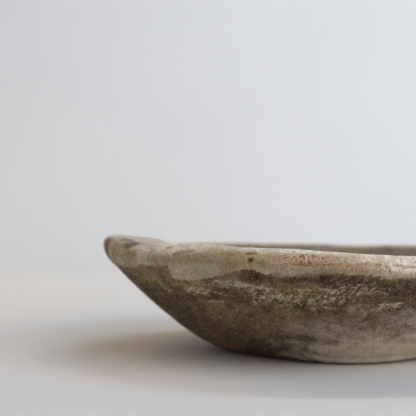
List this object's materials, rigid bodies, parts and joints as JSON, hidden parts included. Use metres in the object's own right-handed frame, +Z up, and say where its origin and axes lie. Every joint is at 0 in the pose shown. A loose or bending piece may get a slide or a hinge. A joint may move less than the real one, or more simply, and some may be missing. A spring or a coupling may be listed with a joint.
{
  "type": "carved wooden bowl",
  "caption": "Shallow hand-carved wooden bowl in one piece, with a flat foot, flaring wall, proud worn lip and a raised end on each side that is cut straight across as a solid shelf.",
  "frame": {"origin": "centre of the flat foot, on the ground plane", "axes": "+Z up; X runs end to end through the two raised ends; Y runs across, with the shouldered front on the -Y side"},
  "size_m": [0.35, 0.3443, 0.0859],
  "materials": {
    "weathered_wood": "dry, weathered and unvarnished"
  },
  "bodies": {
    "root": {"bowl": "weathered_wood"}
  },
  "joints": []
}
